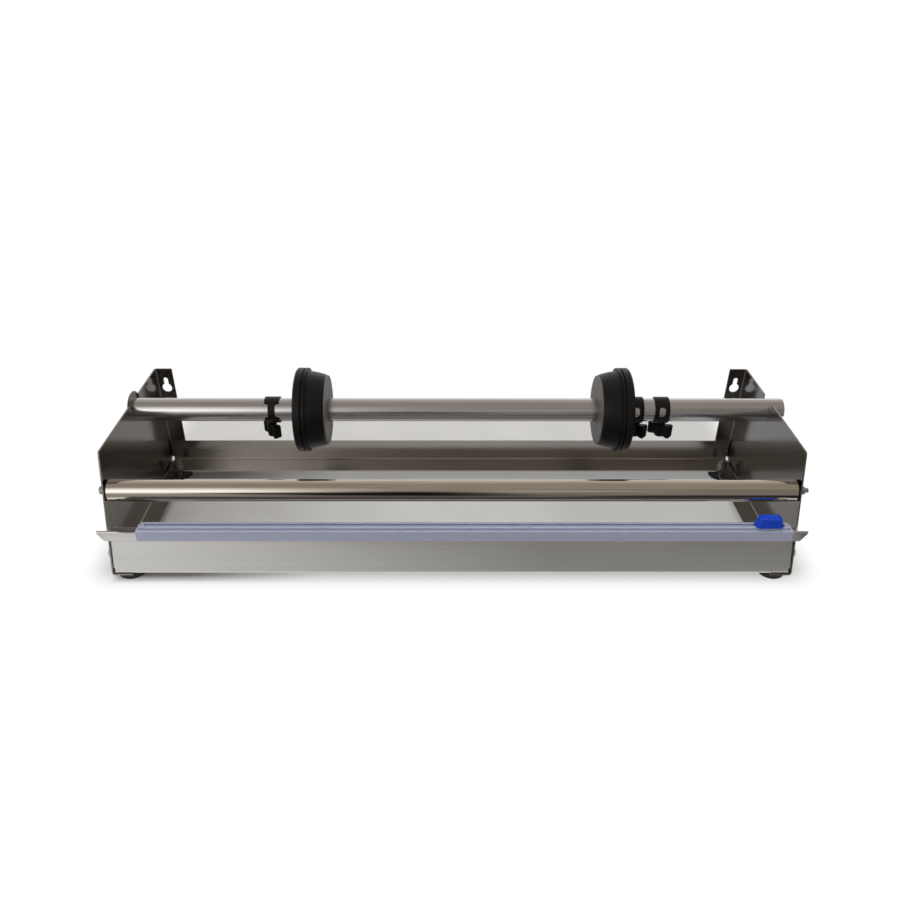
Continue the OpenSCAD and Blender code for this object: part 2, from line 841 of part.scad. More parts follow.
module front_rail_screws() {
  reach = sheet_t + rail_t + nut_h(rail_screw_d) + 1;
  color("silver") for (s = [0, 1]) mirror([s, 0, 0])
    translate([half_w, rail_screw_y, foot_h + rail_screw_h]) rotate([0, 90, 0])
      pan_screw(rail_screw_d, reach);
}

module front_rail_nuts() {
  color("silver") for (s = [0, 1]) mirror([s, 0, 0])
    translate([inner_w - rail_t, rail_screw_y, foot_h + rail_screw_h]) rotate([0, -90, 0])
      hex_nut(rail_screw_d);
}

foot_recess = foot_h - 3;
front_stack = sheet_t + rail_t;
rear_stack = 2 * sheet_t;
function stack(y) = y < 0 ? front_stack : rear_stack;

module foot(x, y) {
  edge = 1;
  color([0.05, 0.05, 0.05]) translate([x, y, 0]) difference() {
    rotate_extrude() polygon([
      [0, 0], [foot_low_d / 2 - edge, 0], [foot_low_d / 2, edge], [foot_top_d / 2, foot_h - edge],
      [foot_top_d / 2 - edge / 2, foot_h], [0, foot_h]
    ]);
    translate([0, 0, -1]) cylinder(h = foot_recess + 1, r = foot_screw_d * 1.15);
    cylinder(h = foot_h + 1, r = foot_screw_d / 2 + screw_clear);
  }
}

module front_left_foot() {
  foot(-foot_x, front_foot_y);
}

module front_right_foot() {
  foot(foot_x, front_foot_y);
}

module rear_left_foot() {
  foot(-foot_x, rear_foot_y);
}

module rear_right_foot() {
  foot(foot_x, rear_foot_y);
}

module at_feet() {
  for (x = [-foot_x, foot_x], y = [front_foot_y, rear_foot_y])
    translate([x, y, 0]) {
      $stack = stack(y);
      children();
    }
}

module foot_screws() {
  color("silver") at_feet() translate([0, 0, foot_recess]) rotate([180, 0, 0])
    pan_screw(foot_screw_d, foot_h - foot_recess + $stack + washer_t + nut_h(foot_screw_d) + thread_out);
}

module foot_washers() {
  color("silver") at_feet() translate([0, 0, foot_h + $stack]) difference() {
    cylinder(h = washer_t, r = foot_screw_d);
    translate([0, 0, -1]) cylinder(h = washer_t + 2, r = foot_screw_d / 2 + screw_clear);
  }
}

module foot_nuts() {
  color("silver") at_feet() translate([0, 0, foot_h + $stack + washer_t]) hex_nut(foot_screw_d);
}

left_side_plate();
right_side_plate();
rear_rail();
front_rail();
cutter_strip();
cutter_track();
cutter_end_stops();
cutter_slider();
cutter_blade();
roll_shaft();
shaft_end_cap();
left_core_cone();
left_cone_face();
right_core_cone();
right_cone_face();
left_collar();
inner_right_collar();
outer_right_collar();
left_wing_knob();
inner_right_wing_knob();
outer_right_wing_knob();
left_stud();
inner_right_stud();
outer_right_stud();
guide_roller();
left_roller_plug();
right_roller_plug();
roller_spacers();
roller_axle();
axle_washers();
axle_nuts();
front_rail_screws();
front_rail_nuts();
front_left_foot();
front_right_foot();
rear_left_foot();
rear_right_foot();
foot_screws();
foot_washers();
foot_nuts();
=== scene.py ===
"""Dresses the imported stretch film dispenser: finishes, finer pieces, studio and camera."""
import logging
import math
from abc import ABC, abstractmethod
from dataclasses import dataclass
from enum import Enum
from typing import Callable, Sequence

import bmesh
import bpy
from mathutils import Matrix, Vector


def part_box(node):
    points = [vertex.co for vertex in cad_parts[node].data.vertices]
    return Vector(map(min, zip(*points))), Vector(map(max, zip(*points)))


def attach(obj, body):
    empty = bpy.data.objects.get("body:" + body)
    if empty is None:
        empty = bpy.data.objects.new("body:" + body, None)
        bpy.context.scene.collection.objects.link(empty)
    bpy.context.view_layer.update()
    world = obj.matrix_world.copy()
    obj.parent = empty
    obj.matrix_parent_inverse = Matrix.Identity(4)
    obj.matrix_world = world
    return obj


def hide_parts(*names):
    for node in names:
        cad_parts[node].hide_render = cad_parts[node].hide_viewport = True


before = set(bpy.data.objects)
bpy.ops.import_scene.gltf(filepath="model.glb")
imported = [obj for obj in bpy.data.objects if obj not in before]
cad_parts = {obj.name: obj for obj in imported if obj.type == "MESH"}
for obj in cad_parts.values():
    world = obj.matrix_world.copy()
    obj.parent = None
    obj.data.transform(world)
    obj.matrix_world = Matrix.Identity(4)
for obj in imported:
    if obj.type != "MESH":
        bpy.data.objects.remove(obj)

Piece = bpy.types.Object
Socket = bpy.types.NodeSocket
Tree = bpy.types.NodeTree
Colour = tuple[float, float, float, float]
Point = tuple[float, float, float]
Pair = tuple[float, float]
Span = tuple[float, float]

LOG = logging.getLogger("film_dispenser")
MM = 0.001
# Points closer than this are one point, in metres
MERGE_M = 0.000001
# Least part of a face's normal along an axis, for a face that looks that way or lies level
LOOKS_ALONG = 0.9
LIES_LEVEL = 0.999
WHITE: Colour = (1, 1, 1, 1)
# The sRGB curve is straight up to its knee, and a power above it
SRGB_KNEE = 0.04045
SRGB_SLOPE = 12.92
SRGB_OFFSET = 0.055
SRGB_POWER = 2.4
# Range that a noise's factor keeps to for the most part, and that of two noises added up
ONE_NOISE: Span = (0.3, 0.7)
TWO_NOISES: Span = (0.75, 1.25)
# How strong each finer layer of a noise is beside the one before
NOISE_ROUGHNESS = 0.55
# Edge of a card, in its own coordinates from its middle
CARD_EDGE = 0.5
# Places of the colour sockets of a Mix node, whose names repeat
MIX_SHARE, MIX_DARK, MIX_LIGHT, MIX_RESULT = 0, 6, 7, 2


class Axis(Enum):
    """Axis of a metal's grain, or along which a card fades."""

    X = 0
    Y = 1
    Z = 2


class Part(Enum):
    """Parts of a mesh that are selected in edit mode."""

    FACE = "faces"
    EDGE = "edges"


def linear(hex_colour: str) -> Colour:
    """Turns an sRGB hex colour into linear light.

    Args:
        hex_colour: six hex digits, red first.

    Returns:
        Red, green, blue and an alpha of 1.
    """
    channels = [int(hex_colour[start : start + 2], 16) / 255 for start in (0, 2, 4)]
    red, green, blue = (
        channel / SRGB_SLOPE
        if channel <= SRGB_KNEE
        else ((channel + SRGB_OFFSET) / (1 + SRGB_OFFSET)) ** SRGB_POWER
        for channel in channels
    )
    return red, green, blue, 1.0


def feed(tree: Tree, node: bpy.types.Node, inputs: dict[str | int, object]) -> None:
    """Links or sets inputs of a node.

    Args:
        tree: the node's tree.
        node: the node.
        inputs: for each input, the socket it is linked from or its value.
    """
    for key, value in inputs.items():
        if isinstance(value, Socket):
            tree.links.new(value, node.inputs[key])
        else:
            node.inputs[key].default_value = value


def add_node(
    tree: Tree,
    kind: str,
    settings: dict[str, object] | None = None,
    inputs: dict[str | int, object] | None = None,
) -> bpy.types.Node:
    """Adds a node, gives it its settings, and links or sets its inputs.

    Args:
        tree: the tree that gets the node.
        kind: the node's type name.
        settings: properties of the node.
        inputs: for each input, the socket it is linked from or its value.

    Returns:
        The new node.
    """
    made = tree.nodes.new(kind)
    for name, value in (settings or {}).items():
        setattr(made, name, value)
    feed(tree, made, inputs or {})
    return made


def bare_material(name: str) -> tuple[bpy.types.Material, Tree, bpy.types.Node]:
    """Starts a material that holds only its output.

    Args:
        name: the material's name.

    Returns:
        The material, its tree and its output node.
    """
    material = bpy.data.materials.new(name)
    material.use_nodes = True
    tree = material.node_tree
    tree.nodes.clear()
    return material, tree, add_node(tree, "ShaderNodeOutputMaterial")


def pattern(tree: Tree, size_mm: Sequence[float], detail: float) -> Socket:
    """Noise whose spots have a real size along each axis of the object.

    Args:
        tree: the material's tree.
        size_mm: size of a spot along X, Y and Z, in millimetres.
        detail: how many finer layers the noise has.

    Returns:
        The noise's factor.
    """
    coords = add_node(tree, "ShaderNodeTexCoord")
    scaled = add_node(
        tree,
        "ShaderNodeMapping",
        {"vector_type": "TEXTURE"},
        {"Vector": coords.outputs["Object"], "Scale": [size * MM for size in size_mm]},
    )
    noise = add_node(
        tree,
        "ShaderNodeTexNoise",
        inputs={
            "Vector": scaled.outputs[0],
            "Scale": 1.0,
            "Detail": detail,
            "Roughness": NOISE_ROUGHNESS,
        },
    )
    return noise.outputs["Fac"]


def chain(tree: Tree, operation: str, values: Sequence[Socket]) -> Socket:
    """Joins several values by one operation of Math nodes.

    Args:
        tree: the tree.
        operation: the operation.
        values: the values, from the first on.

    Returns:
        The result.
    """
    result = values[0]
    for value in values[1:]:
        step = add_node(tree, "ShaderNodeMath", {"operation": operation}, {0: result, 1: value})
        result = step.outputs[0]
    return result


def tone(tree: Tree, factor: Socket, span: Span, dark: str, light: str) -> Socket:
    """Colour that wanders between two hex colours with a factor.

    Args:
        tree: the material's tree.
        factor: the factor.
        span: its values at the first and the second colour.
        dark: the first colour.
        light: the second colour.

    Returns:
        The colour.
    """
    share = add_node(
        tree,
        "ShaderNodeMapRange",
        inputs={"Value": factor, "From Min": span[0], "From Max": span[1]},
    )
    mixed = add_node(
        tree,
        "ShaderNodeMix",
        {"data_type": "RGBA"},
        {MIX_SHARE: share.outputs[0], MIX_DARK: linear(dark), MIX_LIGHT: linear(light)},
    )
    return mixed.outputs[MIX_RESULT]


@dataclass(frozen=True)
class Patterns:
    """What a finish's colour, gloss and relief follow."""

    colour: Socket
    gloss: Socket
    relief: Socket
    span: Span = ONE_NOISE


@dataclass(frozen=True)
class Finish(ABC):
    """Surface whose colour, gloss and relief follow patterns of a real size."""

    name: str
    # Colours and roughness that the surface wanders between
    dark: str
    light: str
    roughness: Span
    relief_mm: float

    @abstractmethod
    def patterns(self, tree: Tree) -> Patterns:
        """Adds the patterns that the surface follows.

        Args:
            tree: the material's tree.

        Returns:
            The patterns.
        """

    @abstractmethod
    def constants(self) -> dict[str, float]:
        """Gives the shader's inputs that are the same all over the surface."""

    def make(self) -> bpy.types.Material:
        """Makes the material.

        Returns:
            The material.
        """
        material, tree, output = bare_material(self.name)
        follows = self.patterns(tree)
        gloss = add_node(
            tree,
            "ShaderNodeMapRange",
            inputs={
                "Value": follows.gloss,
                "From Min": follows.span[0],
                "From Max": follows.span[1],
                "To Min": self.roughness[0],
                "To Max": self.roughness[1],
            },
        )
        bump = add_node(
            tree,
            "ShaderNodeBump",
            inputs={"Height": follows.relief, "Distance": self.relief_mm * MM, "Strength": 1.0},
        )
        shader = add_node(
            tree,
            "ShaderNodeBsdfPrincipled",
            inputs={
                "Base Color": tone(tree, follows.colour, follows.span, self.dark, self.light),
                "Roughness": gloss.outputs[0],
                "Normal": bump.outputs[0],
                **self.constants(),
            },
        )
        feed(tree, output, {"Surface": shader.outputs[0]})
        return material


@dataclass(frozen=True)
class BrushedMetal(Finish):
    """Metal with the fine parallel lines of an abrasive belt, a grinding or a turning tool."""

    grain: Axis
    # Real lines are about 0.05 mm apart, drawn 0.4 to 0.9 mm apart so that they show.
    line_mm: float = 0.9
    line_length_mm: float = 140.0
    # Slow changes of tone that each pass of the tool leaves
    cloud_mm: float = 38.0
    cloud_length_mm: float = 260.0

    def streaks(self, tree: Tree, width_mm: float, length_mm: float, detail: float) -> Socket:
        """Adds streaks that lie along the grain.

        Args:
            tree: the material's tree.
            width_mm: width of a streak.
            length_mm: its length along the grain.
            detail: how many finer layers it has.

        Returns:
            The streaks' factor.
        """
        size = [width_mm] * 3
        size[self.grain.value] = length_mm
        return pattern(tree, size, detail)

    def patterns(self, tree: Tree) -> Patterns:
        """Adds lines for the relief, and lines over clouds for colour and gloss.

        Args:
            tree: the material's tree.

        Returns:
            The patterns.
        """
        lines = self.streaks(tree, self.line_mm, self.line_length_mm, detail=3.0)
        clouds = self.streaks(tree, self.cloud_mm, self.cloud_length_mm, detail=2.0)
        both = chain(tree, "ADD", (lines, clouds))
        return Patterns(both, both, lines, TWO_NOISES)

    def constants(self) -> dict[str, float]:
        """Gives the shader's inputs that are the same all over the metal."""
        return {"Metallic": 1.0}


@dataclass(frozen=True)
class MirrorChrome(Finish):
    """Bright chrome plate on a polished tube, with faint rubbing marks."""

    name: str = "bright_chrome_plate"
    dark: str = "C8C2B8"
    light: str = "D5CFC6"
    roughness: Span = (0.06, 0.13)
    relief_mm: float = 0.02
    rubbing_mm: Point = (90.0, 6.0, 6.0)
    ripple_mm: Point = (160.0, 30.0, 30.0)

    def patterns(self, tree: Tree) -> Patterns:
        """Adds rubbing marks along the tube, and the long ripples of its polish.

        Args:
            tree: the material's tree.

        Returns:
            The patterns.
        """
        rubbed = pattern(tree, self.rubbing_mm, detail=3.0)
        return Patterns(rubbed, rubbed, pattern(tree, self.ripple_mm, detail=1.0))

    def constants(self) -> dict[str, float]:
        """Gives the shader's inputs that are the same all over the plating."""
        return {"Metallic": 1.0}


@dataclass(frozen=True)
class MouldedPlastic(Finish):
    """Moulded thermoplastic with a fine spark-eroded texture."""

    # The mould's real texture is about 0.2 mm wide, drawn 0.6 to 1 mm wide so that it shows.
    texture_mm: float = 0.8
    flow_mm: float = 26.0
    ior: float = 1.5
    specular: float = 0.5

    def patterns(self, tree: Tree) -> Patterns:
        """Adds the plastic's flow and the texture of the mould.

        Args:
            tree: the material's tree.

        Returns:
            The patterns.
        """
        flow = pattern(tree, [self.flow_mm] * 3, detail=3.0)
        return Patterns(flow, flow, pattern(tree, [self.texture_mm] * 3, detail=2.0))

    def constants(self) -> dict[str, float]:
        """Gives the shader's inputs that are the same all over the plastic."""
        return {"IOR": self.ior, "Specular IOR Level": self.specular}


@dataclass(frozen=True)
class ClearPlastic(Finish):
    """Extruded clear plastic that looks faintly violet where it is thick."""

    name: str = "extruded_clear_pvc"
    dark: str = "D8DEFA"
    light: str = "E4EAFF"
    roughness: Span = (0.14, 0.26)
    relief_mm: float = 0.006
    # Die lines run on over the whole length. Real ones are about 0.2 mm apart, drawn 0.9 mm
    # apart so that they show.
    die_line_mm: Point = (2400.0, 0.9, 0.9)
    haze_mm: Point = (400.0, 10.0, 10.0)
    ior: float = 1.53
    see_through: float = 0.5

    def patterns(self, tree: Tree) -> Patterns:
        """Adds the die's lines for gloss and relief, and a haze for the colour.

        Args:
            tree: the material's tree.

        Returns:
            The patterns.
        """
        lines = pattern(tree, self.die_line_mm, detail=2.0)
        return Patterns(pattern(tree, self.haze_mm, detail=2.0), lines, lines)

    def constants(self) -> dict[str, float]:
        """Gives the shader's inputs that are the same all over the plastic."""
        return {"IOR": self.ior, "Transmission Weight": self.see_through}


@dataclass(frozen=True)
class Rubber(Finish):
    """Moulded black rubber with a dull bloom."""

    name: str = "black_nitrile_rubber"
    dark: str = "141413"
    light: str = "242322"
    roughness: Span = (0.7, 0.88)
    relief_mm: float = 0.03
    # Real pores are about 0.1 mm wide, drawn 0.7 mm wide so that they show.
    bloom_mm: float = 7.0
    pore_mm: float = 0.7

    def patterns(self, tree: Tree) -> Patterns:
        """Adds the bloom for colour and gloss, and pores for the relief.

        Args:
            tree: the material's tree.

        Returns:
            The patterns.
        """
        bloom = pattern(tree, [self.bloom_mm] * 3, detail=4.0)
        return Patterns(bloom, bloom, pattern(tree, [self.pore_mm] * 3, detail=2.0))

    def constants(self) -> dict[str, float]:
        """Gives no inputs: the shader's own are right for rubber."""
        return {}


class Look(Enum):
    """The finishes of the dispenser's pieces."""

    # Stainless sheet, belt-brushed front to rear: a mirror with soft streaks, its tone darkened
    # below the rails' as painted shade on the side plates.
    SIDE_SHEET = BrushedMetal(
        "satin_stainless_side",
        "86827E",
        "8C8884",
        roughness=(0.13, 0.19),
        relief_mm=0.0008,
        grain=Axis.Y,
    )
    # The same sheet brushed from side to side, its streaks along the rear rail: paler than the side
    # plates, whose darker tone is painted shade.
    REAR_SHEET = BrushedMetal(
        "satin_stainless_rear",
        "ABA7A2",
        "B8B4AF",
        roughness=(0.18, 0.26),
        relief_mm=0.001,
        grain=Axis.X,
    )
    # A coarser belt on the front rail: pale, even steel whose reflections run out downwards.
    FRONT_SHEET = BrushedMetal(
        "satin_stainless_front",
        "CCCBC9",
        "D4D3D1",
        roughness=(0.26, 0.32),
        relief_mm=0.0015,
        grain=Axis.X,
        line_length_mm=900.0,
    )
    # Polished stainless tube: bright bands along it, broken up by very fine long lines.
    TUBE = BrushedMetal(
        "satin_stainless_tube",
        "C1C1C3",
        "CDCDCF",
        roughness=(0.17, 0.23),
        relief_mm=0.003,
        grain=Axis.X,
        line_mm=0.8,
        line_length_mm=600.0,
    )
    # Turned stainless cap with tool marks: its grey is darkened below the tube's as painted shade
    # at the shaft's left end.
    CAP = BrushedMetal(
        "turned_stainless_cap",
        "7E7A75",
        "928E88",
        roughness=(0.3, 0.4),
        relief_mm=0.006,
        grain=Axis.Z,
        line_mm=0.7,
        line_length_mm=30.0,
    )
    # Chrome plate: an almost sharp mirror, warm and dulled a little where film has rubbed it.
    CHROME = MirrorChrome()
    # Bright zinc on screws, nuts and washers: cool grey with a broken highlight.
    ZINC = BrushedMetal(
        "bright_zinc_plate",
        "A6A7A8",
        "C4C5C6",
        roughness=(0.3, 0.5),
        relief_mm=0.006,
        grain=Axis.Z,
        line_mm=0.5,
        line_length_mm=2.0,
    )
    # Ground blade steel: fine upright lines and a hard glint.
    BLADE = BrushedMetal(
        "ground_blade_steel",
        "A9ACAF",
        "CFD2D5",
        roughness=(0.18, 0.3),
        relief_mm=0.006,
        grain=Axis.Z,
        line_mm=0.4,
        line_length_mm=8.0,
    )
    # Extruded PVC: glossy, with long die lines, and the steel seen dimly through it.
    CLEAR = ClearPlastic()
    # Moulded ABS in strong blue: smooth and a little glossy.
    BLUE = MouldedPlastic(
        "blue_abs",
        "023CBA",
        "0448D2",
        roughness=(0.26, 0.34),
        relief_mm=0.006,
        texture_mm=0.7,
        specular=0.35,
    )
    # Moulded black ABS: deep black with a soft, wide highlight.
    CONE = MouldedPlastic(
        "black_abs_satin",
        "080808",
        "0E0E0F",
        roughness=(0.38, 0.48),
        relief_mm=0.015,
        specular=0.26,
    )
    # Glass-filled nylon: warm black, its fibres a coarser grain under the highlight.
    COLLAR = MouldedPlastic(
        "black_glass_filled_nylon",
        "080606",
        "0F0C0C",
        roughness=(0.36, 0.5),
        relief_mm=0.02,
        texture_mm=0.6,
        ior=1.53,
        specular=0.24,
    )
    # Moulded polypropylene: waxy mid grey.
    DISC = MouldedPlastic(
        "grey_polypropylene",
        "524E4B",
        "5F5B58",
        roughness=(0.42, 0.54),
        relief_mm=0.01,
        texture_mm=1.0,
        ior=1.49,
    )
    # Natural acetal: milky white and slippery.
    WHITE_ACETAL = MouldedPlastic(
        "natural_acetal", "D9D8D2", "E8E7E1", roughness=(0.35, 0.45), relief_mm=0.01, ior=1.48
    )
    # Moulded nitrile rubber: almost no highlight, grey dust in its pores.
    RUBBER = Rubber()


class FinishShelf:
    """Holds the material of each finish, made once."""

    def __init__(self) -> None:
        """Makes the materials."""
        self.made = {look: look.value.make() for look in Look}

    def dress(self, piece: Piece, look: Look) -> None:
        """Puts a finish on a piece.

        Args:
            piece: the piece or CAD node.
            look: the finish.
        """
        if not piece.material_slots:
            piece.data.materials.append(self.made[look])
        for slot in piece.material_slots:
            slot.material = self.made[look]

    def dress_nodes(self, look: Look, *names: str) -> None:
        """Puts a finish on CAD nodes.

        Args:
            look: the finish.
            names: the nodes' names.
        """
        for name in names:
            self.dress(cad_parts[name], look)
            LOG.info("dressed %s with %s", name, look.value.name)


def select_only(piece: Piece) -> None:
    """Selects one piece, makes it active, and deselects all others.

    Args:
        piece: the piece.
    """
    bpy.ops.object.select_all(action="DESELECT")
    piece.select_set(True)
    bpy.context.view_layer.objects.active = piece


def start_piece(name: str, add: Callable[..., set[str]], **settings: object) -> Piece:
    """Adds a primitive with nothing else selected.

    Args:
        name: the piece's name.
        add: the operator that adds the primitive.
        settings: the operator's settings.

    Returns:
        The new piece.
    """
    bpy.ops.object.select_all(action="DESELECT")
    add(**settings)
    piece = bpy.context.active_object
    piece.name = name
    piece.data.name = name
    return piece


def copy_piece(piece: Piece, name: str) -> Piece:
    """Copies a piece or a CAD node, with a mesh of its own.

    Args:
        piece: the piece.
        name: the copy's name.

    Returns:
        The copy, with no place or turn of its own.
    """
    copy = bpy.data.objects.new(name, piece.data.copy())
    copy.data.name = name
    bpy.context.scene.collection.objects.link(copy)
    return copy


def edit(piece: Piece) -> None:
    """Enters edit mode on one piece."""
    select_only(piece)
    bpy.ops.object.mode_set(mode="EDIT")


def pick(piece: Piece, part: Part, test: Callable[[object], bool]) -> None:
    """Selects faces or edges of a piece in edit mode, and nothing else.

    Args:
        piece: the piece.
        part: faces or edges.
        test: says for each of them whether it is selected.
    """
    mesh = bmesh.from_edit_mesh(piece.data)
    bpy.ops.mesh.select_all(action="DESELECT")
    bpy.ops.mesh.select_mode(type=part.name)
    for one in getattr(mesh, part.value):
        if test(one):
            one.select_set(True)
    bmesh.update_edit_mesh(piece.data)


def merge_points() -> None:
    """Merges the points that lie on each other, in edit mode."""
    bpy.ops.mesh.select_all(action="SELECT")
    bpy.ops.mesh.remove_doubles(threshold=MERGE_M)


def apply_modifier(piece: Piece, kind: str, **settings: object) -> None:
    """Adds a modifier and applies it.

    Args:
        piece: the piece, in object mode.
        kind: the modifier's type.
        settings: its settings.
    """
    select_only(piece)
    modifier = piece.modifiers.new(kind.title(), kind)
    for name, value in settings.items():
        setattr(modifier, name, value)
    bpy.ops.object.modifier_apply(modifier=modifier.name)


def join(pieces: Sequence[Piece], name: str) -> Piece:
    """Joins pieces into one.

    Args:
        pieces: the pieces, the first of which stays.
        name: the name of the result.

    Returns:
        The joined piece.
    """
    select_only(pieces[0])
    for piece in pieces[1:]:
        piece.select_set(True)
    bpy.ops.object.join()
    pieces[0].name = name
    pieces[0].data.name = name
    return pieces[0]


def settle(piece: Piece, sharp_deg: float) -> None:
    """Turns faces outwards, smooths by angle, and puts the piece's place into its mesh.

    Args:
        piece: the piece.
        sharp_deg: edges that bend more than this stay sharp.
    """
    edit(piece)
    merge_points()
    bpy.ops.mesh.normals_make_consistent(inside=False)
    bpy.ops.object.mode_set(mode="OBJECT")
    bpy.ops.object.shade_smooth_by_angle(angle=math.radians(sharp_deg))
    bpy.ops.object.transform_apply(location=True, rotation=True, scale=True)


@dataclass
class SheetFrame:
    """Side plates, rear rail and front rail of bent stainless sheet."""

    plates: tuple[str, ...] = ("left_side_plate", "right_side_plate")

    def build(self, shelf: FinishShelf) -> None:
        """Dresses the frame's sheet parts.

        Args:
            shelf: the finishes.
        """
        shelf.dress_nodes(Look.SIDE_SHEET, *self.plates)
        shelf.dress_nodes(Look.REAR_SHEET, "rear_rail")
        shelf.dress_nodes(Look.FRONT_SHEET, "front_rail")


@dataclass
class RollShaft:
    """Tube that carries the roll, with its end cap, cones and collars."""

    cones: tuple[str, ...] = ("left_core_cone", "right_core_cone")
    discs: tuple[str, ...] = ("left_cone_face", "right_cone_face")
    collars: tuple[str, ...] = ("left_collar", "inner_right_collar", "outer_right_collar")
    studs: tuple[str, ...] = ("left_stud", "inner_right_stud", "outer_right_stud")

    def build(self, shelf: FinishShelf) -> None:
        """Dresses the shaft and what sits on it.

        Args:
            shelf: the finishes.
        """
        shelf.dress_nodes(Look.TUBE, "roll_shaft")
        shelf.dress_nodes(Look.CAP, "shaft_end_cap")
        shelf.dress_nodes(Look.CONE, *self.cones)
        shelf.dress_nodes(Look.DISC, *self.discs)
        shelf.dress_nodes(Look.COLLAR, *self.collars)
        shelf.dress_nodes(Look.ZINC, *self.studs)


@dataclass
class WingKnobs:
    """Moulded wing knobs under the collars, with wings that swell towards their tips."""

    # Turn of each knob's wings from X
    turns_deg: tuple[tuple[str, float], ...] = (
        ("left", -52.0),
        ("inner_right", -40.0),
        ("outer_right", -40.0),
    )
    hub_radius_mm: float = 5.25
    hub_sides: int = 48
    # Hollow in the hub's underside, and the rim round it
    hollow_mm: float = 0.9
    hollow_rim_mm: float = 1.3
    # Box that a wing grows from: its middle beside and above the hub's, its length and width,
    # and its share of the knob's height
    root_out_mm: float = 3.0
    root_up_mm: float = 0.5
    root_length_mm: float = 4.0
    root_width_mm: float = 6.8
    root_share: float = 0.9
    # Steps that draw the wing out: reach in millimetres, then growth across and upright
    steps: tuple[Point, ...] = (
        (2.0, 1.1, 1.06),
        (2.4, 1.14, 1.05),
        (2.4, 1.04, 1.0),
        (1.2, 0.8, 0.88),
    )
    edge_mm: float = 1.0
    edge_steps: int = 3
    # Fuses hub and wings, and softens the seam as a mould's fillet does
    voxel_mm: float = 0.32
    softening: float = 0.5
    softening_rounds: int = 5
    sharp_deg: float = 60.0

    def build(self, shelf: FinishShelf) -> None:
        """Makes one knob, and places and dresses a copy under each collar.

        Args:
            shelf: the finishes.
        """
        first = self.make()
        for place, turn_deg in self.turns_deg:
            low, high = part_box(f"{place}_wing_knob")
            knob = copy_piece(first, f"{place}_wing_knob_moulding")
            knob.location = (low + high) / 2
            knob.rotation_euler.z = math.radians(turn_deg)
            select_only(knob)
            bpy.ops.object.transform_apply(location=True, rotation=True, scale=True)
            shelf.dress(knob, Look.COLLAR)
            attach(knob, f"{place}_wing_screw")
            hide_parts(f"{place}_wing_knob")
            LOG.info("made %s, %d faces", knob.name, len(knob.data.polygons))
        bpy.data.objects.remove(first)

    def make(self) -> Piece:
        """Models one knob round the origin, with its wings along X.

        Returns:
            The finished knob.
        """
        low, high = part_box("left_wing_knob")
        height = high.z - low.z
        hub = start_piece(
            "wing_knob",
            bpy.ops.mesh.primitive_cylinder_add,
            vertices=self.hub_sides,
            radius=self.hub_radius_mm * MM,
            depth=height,
        )
        edit(hub)
        pick(hub, Part.FACE, lambda face: face.normal.z < -LOOKS_ALONG)
        bpy.ops.mesh.inset(thickness=self.hollow_rim_mm * MM)
        bpy.ops.mesh.extrude_region_move(
            TRANSFORM_OT_translate={"value": (0, 0, self.hollow_mm * MM)}
        )
        bpy.ops.object.mode_set(mode="OBJECT")
        wing = self.wing(height)
        other = copy_piece(wing, "other_wing")
        other.rotation_euler.z = math.pi
        knob = join([hub, wing, other], hub.name)
        apply_modifier(knob, "REMESH", mode="VOXEL", voxel_size=self.voxel_mm * MM)
        apply_modifier(
            knob, "SMOOTH", factor=self.softening, iterations=self.softening_rounds
        )
        settle(knob, self.sharp_deg)
        return knob

    def wing(self, height: float) -> Piece:
        """Models one wing as a box drawn out in steps along X.

        Args:
            height: the knob's height, in metres.

        Returns:
            The wing, to be copied and fused with the hub.
        """
        wing = start_piece(
            "wing",
            bpy.ops.mesh.primitive_cube_add,
            size=1.0,
            location=(self.root_out_mm * MM, 0, self.root_up_mm * MM),
        )
        wing.scale = (
            self.root_length_mm * MM,
            self.root_width_mm * MM,
            height * self.root_share,
        )
        bpy.ops.object.transform_apply(location=True, rotation=True, scale=True)
        edit(wing)
        for reach_mm, across, upright in self.steps:
            pick(wing, Part.FACE, lambda face: face.normal.x > LOOKS_ALONG)
            bpy.ops.mesh.extrude_region_move(
                TRANSFORM_OT_translate={"value": (reach_mm * MM, 0, 0)}
            )
            bpy.ops.transform.resize(value=(1, across, upright))
        bpy.ops.object.mode_set(mode="OBJECT")
        apply_modifier(
            wing, "BEVEL", width=self.edge_mm * MM, segments=self.edge_steps, limit_method="ANGLE"
        )
        return wing


@dataclass
class GuideRoller:
    """Chrome tube that turns on a threaded rod through both side plates."""

    plugs: tuple[str, ...] = ("left_roller_plug", "right_roller_plug")
    axle: tuple[str, ...] = ("roller_axle", "axle_washers", "axle_nuts")

    def build(self, shelf: FinishShelf) -> None:
        """Dresses the roller.

        Args:
            shelf: the finishes.
        """
        shelf.dress_nodes(Look.CHROME, "guide_roller")
        shelf.dress_nodes(Look.COLLAR, *self.plugs)
        shelf.dress_nodes(Look.WHITE_ACETAL, "roller_spacers")
        shelf.dress_nodes(Look.ZINC, *self.axle)


